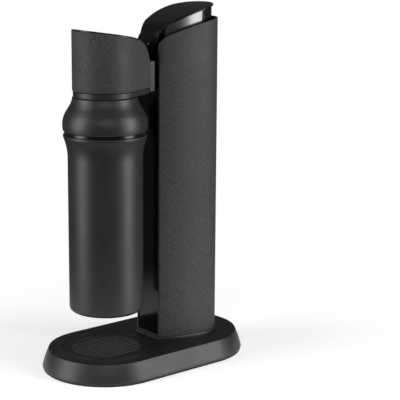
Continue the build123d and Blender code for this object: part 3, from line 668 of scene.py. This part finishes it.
makeGrille(grilleShape)
print("base, tray and grille made")


# column
columnShape = {"wall": 2.0, "lip": 19.9, "corner": 1.6, "edge": 0.7, "sill": 31.0}
rimCornerY = 16.0
cornerArc = circleHeight((6.7, 388.0), (9.7, 396.8), (rimCornerY, 402.3))
rimArc = circleHeight((rimCornerY, 402.3), (50.0, 414.2), (130.0, 419.6))


def rimHeight(y):
    # the column's top edge: a rounded front corner, then a slow rise to the back
    y = max(y, columnFront)
    return cornerArc(y) if y < rimCornerY else rimArc(y)


def makeColumn(v):
    bm = bmesh.new()
    half = columnHalf(0.0)
    rows = columnRows(columnFront, 0.0, 40, 36)
    corner = roundCorners([(v["lip"] - 0.4, columnFront, 0), (columnFrontHalf, columnFront, v["corner"]),
                           (half(columnFront + 6), columnFront + 6, 0)], False, 6)
    side = [(half(y), y) for y in rows if y > columnFront + 3.2]
    right = corner[:-1] + side
    outline = right + [(-x, y) for x, y in reversed(right[:-1])]
    low = columnLow[2]
    e = v["edge"]
    section = [(v["wall"], low, 0.0), (0.3, low, 0.0), (0.0, low, 0.4)]
    for k in range(1, 12):
        section.append((0.0, lerp(low, 384.0, k / 12), 0.0))
    section += [(0.0, rimHeight, -e), (e * 0.3, rimHeight, -e * 0.3), (e, rimHeight, 0.0),
                (v["wall"] - 0.3, rimHeight, 0.0), (v["wall"], rimHeight, -0.3)]
    closeRibbon(bm, ribbon(bm, outline, section, closed=False), closed=False)
    sill = columnFront + v["wall"]
    x = v["lip"]
    corners = [(-x, columnFront), (x, columnFront), (x, sill), (-x, sill)]
    closeRibbon(bm, ribbon(bm, corners, [(0, low, 0), (0, v["sill"] - 0.3, 0), (0.3, v["sill"], 0)]))
    for end in (0, 1):
        z = (low, v["sill"])[end]
        inset = 0.3 * end
        bm.faces.new([bm.verts.new((px * mm * (1 - inset / x), py * mm, z * mm)) for px, py in corners])
    return newPiece("columnWrap", bm, "stand", ["column_shell"], "powderCoat", "black_powder_coat", 30)


makeColumn(columnShape)
bevelledCopy("front_panel", "frontFascia", 0.4, "polishedBlack", "black_gloss_plastic")
bevelledCopy("column_collar", "footCollar", 0.0, "mouldedAbs", "black_matte_plastic", angle=30)
bevelledCopy("top_bezel", "rimInsert", 0.3, "mouldedAbs", "black_matte_plastic")
print("column made")

# lever
leverShape = {"inset": 5.5, "front": 8.0, "thick": 1.9, "edge": 0.7, "lowEdge": 0.4, "across": 10}
leverNoseY, leverKneeY, leverLipY = 8.0, 27.5, 19.9
noseArc = circleHeight((leverNoseY, 404.6), (14.5, 413.3), (leverKneeY, 420.4))
backArc = circleHeight((leverKneeY, 420.4), (60.0, 431.4), (120.0, 439.4))
lipArc = circleHeight((7.95, 391.4), (10.9, 402.6), (leverLipY, 413.3))


def leverHeight(y):
    # the lever's top: a round nose, then a long low arc
    return noseArc(max(y, leverNoseY)) if y < leverKneeY else backArc(y)


def leverUnder(y):
    # its underside, which drops away from the top at the nose
    level = leverHeight(y) - leverShape["thick"]
    return min(lipArc(max(y, leverNoseY)), level) if y < leverLipY else level


def makeLever(v):
    bm = bmesh.new()
    rows = columnRows(v["front"], v["inset"], 44, 30)
    outline = plateOutline(columnHalf(v["inset"]), rows, v["across"])
    e, f = v["edge"], v["lowEdge"]
    section = [(e, leverHeight, 0.0), (e * 0.55, leverHeight, -e * 0.12), (e * 0.2, leverHeight, -e * 0.45),
               (0.0, leverHeight, -e), (0.0, leverUnder, f),
               (f * 0.3, leverUnder, f * 0.3), (f, leverUnder, 0.0)]
    loops = ribbon(bm, outline, section)
    plateFill(bm, [row[0] for row in loops], v["across"], len(rows), leverHeight)
    plateFill(bm, [row[-1] for row in loops], v["across"], len(rows), leverUnder)
    return newPiece("leverPaddle", bm, "lever", ["lever_paddle"], "satinBlack", "black_gloss_plastic", 50)


makeLever(leverShape)
bevelledCopy("lever_core", "leverSkirt", 0.3, "satinBlack", "black_matte_plastic")
bevelledCopy("lever_trims", "leverSideStrips", 0.25, "brushedSteel", "satin_steel", segments=2)
print("lever made")

# head
headShape = {"radius": 38.8, "tab": 20.5, "rear": -6.7, "wall": 2.2, "low": 341.9, "edge": 0.5, "across": 8}
headShoulderY, headRearY = -32.0, -6.7
crownArc = circleHeight((-106.0, 415.0), (-66.0, 409.9), (headShoulderY, 402.9))
shoulderArc = circleHeight((headShoulderY, 402.9), (-14.5, 393.0), (headRearY, 376.0))


def headHeight(y):
    # the head's top: a slow fall to the rear, then a round shoulder
    return crownArc(y) if y < headShoulderY else shoulderArc(min(y, headRearY))


def headHalf(inset, v):
    # half width of the head at a depth: a circle, then a straight taper to the neck
    radius = v["radius"] - inset
    half = v["tab"] - inset
    rear = v["rear"] - inset * 0.6
    away = math.hypot(half, rear - vesselY)
    angle = math.atan2(rear - vesselY, half) - math.acos(radius / away)
    touchX = radius * math.cos(angle)
    touchY = vesselY + radius * math.sin(angle)

    def width(y):
        if y <= touchY:
            return math.sqrt(max(radius**2 - (y - vesselY) ** 2, 0.0))
        return lerp(touchX, half, (y - touchY) / (rear - touchY))
    return width, rear, touchY, radius


def headRows(rear, touchY, radius, taper=22, round_=44):
    # depths from the flat rear edge to the front of the circle
    rows = [lerp(rear, touchY, k / taper) for k in range(taper)]
    first = math.asin((touchY - vesselY) / radius)
    rows += [vesselY + radius * math.sin(lerp(first, -math.pi / 2, k / round_)) for k in range(round_ + 1)]
    return rows


def makeHeadShell(v):
    width, rear, touchY, radius = headHalf(0.0, v)
    outline = plateOutline(width, headRows(rear, touchY, radius), v["across"])
    outline.reverse()  # the straight edge is at the back here, so this runs the same way round as the others
    e = v["edge"]
    bm = bmesh.new()

    def top(y):
        return headHeight(y + 0.9) - 1.2
    section = [(v["wall"], v["low"], 0.0), (e, v["low"], 0.0),
               (e * 0.3, v["low"], e * 0.3), (0.0, v["low"], e)]
    section += [(0.0, v["low"], 6.0 + 5.0 * k) for k in range(5)]
    section += [(0.0, top, -e), (e * 0.3, top, -e * 0.3), (e, top, 0.0), (v["wall"], top, 0.0)]
    closeRibbon(bm, ribbon(bm, outline, section))
    return newPiece("headWrap", bm, "head", ["head_shell"], "powderCoat", "black_powder_coat", 30)


def makeHeadCap(v):
    width, rear, touchY, radius = headHalf(0.2, v)
    rows = headRows(rear, touchY, radius)
    outline = plateOutline(width, rows, v["across"])
    outline.reverse()
    e = 0.45
    bm = bmesh.new()
    section = [(e, headHeight, 0.0), (e * 0.3, headHeight, -e * 0.25), (0.0, headHeight, -e),
               (0.0, headHeight, -1.1), (0.9, headHeight, -1.1), (0.9, headHeight, -2.6),
               (2.0, headHeight, -2.6)]
    loops = ribbon(bm, outline, section)
    loops.reverse()
    loops = [loops[-1]] + loops[:-1]
    plateFill(bm, [row[0] for row in loops], v["across"], len(rows), headHeight)
    plateFill(bm, [row[-1] for row in loops], v["across"], len(rows), headHeight, -2.6)
    return newPiece("headCap", bm, "head", ["head_top_cap"], "satinBlack", "black_gloss_plastic", 50)


makeHeadShell(headShape)
makeHeadCap(headShape)
bevelledCopy("head_body", "headFrame", 0.35, "mouldedAbs", "black_matte_plastic")
bevelledCopy("neck_sleeve", "neckSleeve", 0.8, "powderCoat", "black_powder_coat")
print("head made")

# dome, lock ring and canister
domeShape = {"lip": 50.4, "belly": 50.95, "neck": 38.8, "wall": 2.0, "low": 294.2, "high": 335.2}


def makeDome(v):
    low = v["low"]
    outer = smoothThrough([(v["lip"], low + 0.6), (v["belly"], low + 6.3), (50.4, low + 12.6),
                           (48.5, low + 18.8), (45.5, low + 24.2), (42.3, low + 29.4), (39.9, low + 34.6),
                           (v["neck"], v["high"] - 1.5)], 8)
    inner = [(r - v["wall"], z - 0.4) for r, z in reversed(outer[6:-10])]
    profile = [(v["lip"] - 0.5, low)] + outer + [
        (v["neck"] - 0.9, v["high"] - 0.9), (v["neck"] - 1.8, v["high"]), (18.0, v["high"]),
        (18.0, v["high"] - 3.0), (36.0, v["high"] - 3.0)]
    profile += inner + [(48.5, low + 4.6), (48.5, low + 0.2), (48.7, low)]
    bm = bmesh.new()
    lathe(bm, profile, vesselY)
    return newPiece("bottleBell", bm, "head", ["dome"], "satinCoat", "black_powder_coat", 40)


canShape = {"radius": 45.0, "lip": 50.2, "wall": 1.5, "low": 73.2, "high": 289.8, "bend": 7.0}


def makeCanister(v):
    r, w = v["radius"], v["wall"]
    flare = smoothThrough([(r, 258.0), (r + 0.05, 263.5), (r + 0.7, 270.5), (r + 2.1, 277.5),
                           (v["lip"] - 1.3, 283.6), (v["lip"] - 0.1, 286.8), (v["lip"], 288.8)], 7)
    low = v["low"]
    foot = roundCorners([(0, low, 0), (30.0, low, 0), (32.0, low + 0.8, 1.0), (34.0, low, 1.0),
                         (r, low, v["bend"]), (r, 120.0, 0)], False, 9)
    wallRows = [(r, lerp(120.0, 258.0, k / 6)) for k in range(1, 6)]
    rim = [(v["lip"] - 0.2, v["high"] - 0.3), (v["lip"] - 0.6, v["high"]), (v["lip"] - w, v["high"])]
    innerFlare = [(x - w, z) for x, z in reversed(flare)]
    inside = roundCorners([(r - w, 120.0, 0), (r - w, low + w, v["bend"] - w), (0, low + w, 0)], False, 6)
    bm = bmesh.new()
    lathe(bm, foot + wallRows + flare + rim + innerFlare + inside, vesselY, closedProfile=False)
    return newPiece("canisterBody", bm, "canister", ["canister"], "satinCoat", "black_powder_coat", 40)


makeDome(domeShape)
makeCanister(canShape)
# the lock ring wears the darker lever black instead of its moulded grey, as painted shade so the recessed
# gap between bell and canister reads dark
bevelledCopy("lock_ring", "lockRing", 0.25, "satinBlack", "black_matte_plastic")
bevelledCopy("canister_insert", "canisterMouth", 0.2, "mouldedAbs", "black_matte_plastic")
print("vessel made")

# pieces kept from the frame with eased edges
easedPieces = {
    "base_plate": 0.3, "hatch_cover": 0.4, "cylinder_cushion": 0.3,
    "spine_frame": 0.3, "cylinder_guides": 0.3,
    "gas_cylinder": 0.0, "cylinder_valve": 0.25, "valve_block": 0.4, "plunger_guide": 0.25, "plunger": 0.3,
    "relief_valve": 0.25, "outlet_fitting": 0.2, "swivel_elbow": 0.2, "lever_bracket": 0.3, "lever_pin": 0.3,
    "lever_pad": 0.3, "tilt_pin": 0.3, "tilt_bushes": 0.15, "hose_swivel": 0.15, "nozzle_body": 0.3,
    "carbonation_tube": 0.15, "bottle_gasket": 0.3, "canister_pad": 0.4, "base_screws": 0.15,
    "valve_screws": 0.15, "bracket_screws": 0.15, "dome_screws": 0.15, "spine_screws": 0.15,
}
for node, ease in easedPieces.items():
    words = node.split("_")
    name = words[0] + "".join(w.capitalize() for w in words[1:]) + "Eased"
    bevelledCopy(node, name, ease, materialOfSlot[slotOf[node]], slotOf[node], segments=2)
print("inner pieces made:", len(easedPieces))

# room, light and camera
roomSetup = {"floor": "#fafafa", "size": 1.4, "fadeFrom": 0.20, "fadeTo": 0.42, "glow": 0.50, "fill": 0.09}


def makeRoom(v):
    # a pale floor that fades into the white surround
    mesh = bpy.data.meshes.new("floor")
    s = v["size"]
    mesh.from_pydata([(-s, -s, 0), (s, -s, 0), (s, s, 0), (-s, s, 0)], [], [(0, 1, 2, 3)])
    floor = bpy.data.objects.new("floor", mesh)
    bpy.context.scene.collection.objects.link(floor)
    material, tree, bsdf, place = startMaterial("studioFloor", {
        "Base Color": linear(v["floor"]), "Roughness": 0.30, "IOR": 1.3,
        "Emission Color": (1, 1, 1, 1), "Emission Strength": v["glow"]})
    reach = addNode(tree, "ShaderNodeVectorMath", {"operation": "LENGTH"}, {0: place})
    solid = addNode(tree, "ShaderNodeMapRange", {"interpolation_type": "SMOOTHSTEP"}, {
        "Value": reach.outputs["Value"], "From Min": v["fadeFrom"], "From Max": v["fadeTo"],
        "To Min": 1.0, "To Max": 0.0})
    tree.links.new(solid.outputs[0], bsdf.inputs["Alpha"])
    mesh.materials.append(material)
    world = bpy.data.worlds.new("studio")
    world.use_nodes = True
    bpy.context.scene.world = world
    tree = world.node_tree
    tree.nodes.clear()
    seen = addNode(tree, "ShaderNodeBackground", inputs={"Color": (1, 1, 1, 1), "Strength": 1.0})
    fill = addNode(tree, "ShaderNodeBackground", inputs={"Color": (1, 1, 1, 1), "Strength": v["fill"]})
    path = addNode(tree, "ShaderNodeLightPath")
    both = addNode(tree, "ShaderNodeMixShader", inputs={0: path.outputs["Is Camera Ray"],
                                                        1: fill.outputs[0], 2: seen.outputs[0]})
    addNode(tree, "ShaderNodeOutputWorld", inputs={0: both.outputs[0]})


makeRoom(roomSetup)

# azimuth 0 is in front, on -Y, and 90 is on the right, on +X
softboxes = {
    "leftStrip": {"azimuth": -20, "height": 0.55, "distance": 1.5, "size": (0.75, 1.6), "power": 21},
    "rightStrip": {"azimuth": 122, "height": 0.50, "distance": 1.5, "size": (0.7, 1.6), "power": 24},
    "overCamera": {"azimuth": 54, "height": 1.15, "distance": 1.8, "size": (1.2, 0.3), "power": 7},
}


def makeLights(table):
    aim = Vector((0, 0, 0.2))
    for name, v in table.items():
        data = bpy.data.lights.new(name, "AREA")
        data.shape = "RECTANGLE"
        data.size, data.size_y = v["size"]
        data.energy = v["power"]
        lamp = bpy.data.objects.new(name, data)
        a = math.radians(v["azimuth"])
        lamp.location = (v["distance"] * math.sin(a), -v["distance"] * math.cos(a), v["height"])
        lamp.rotation_euler = (aim - lamp.location).to_track_quat("-Z", "Y").to_euler()
        bpy.context.scene.collection.objects.link(lamp)


makeLights(softboxes)

cameraSetup = {"azimuth": 50.99, "pitch": 12.42, "lens": 121.5,
               "place": (1.26264, -1.01289, 0.55728), "shift": 0.125}


def makeCamera(v):
    data = bpy.data.cameras.new("camera")
    data.lens = v["lens"]
    data.sensor_width = 36.0
    data.shift_x = v["shift"]
    data.clip_end = 50.0
    camera = bpy.data.objects.new("camera", data)
    camera.location = v["place"]
    camera.rotation_euler = (math.radians(90 - v["pitch"]), 0, math.radians(v["azimuth"]))
    bpy.context.scene.collection.objects.link(camera)
    bpy.context.scene.camera = camera


makeCamera(cameraSetup)
bpy.context.scene.view_settings.view_transform = "Standard"
print("room, lights and camera made")
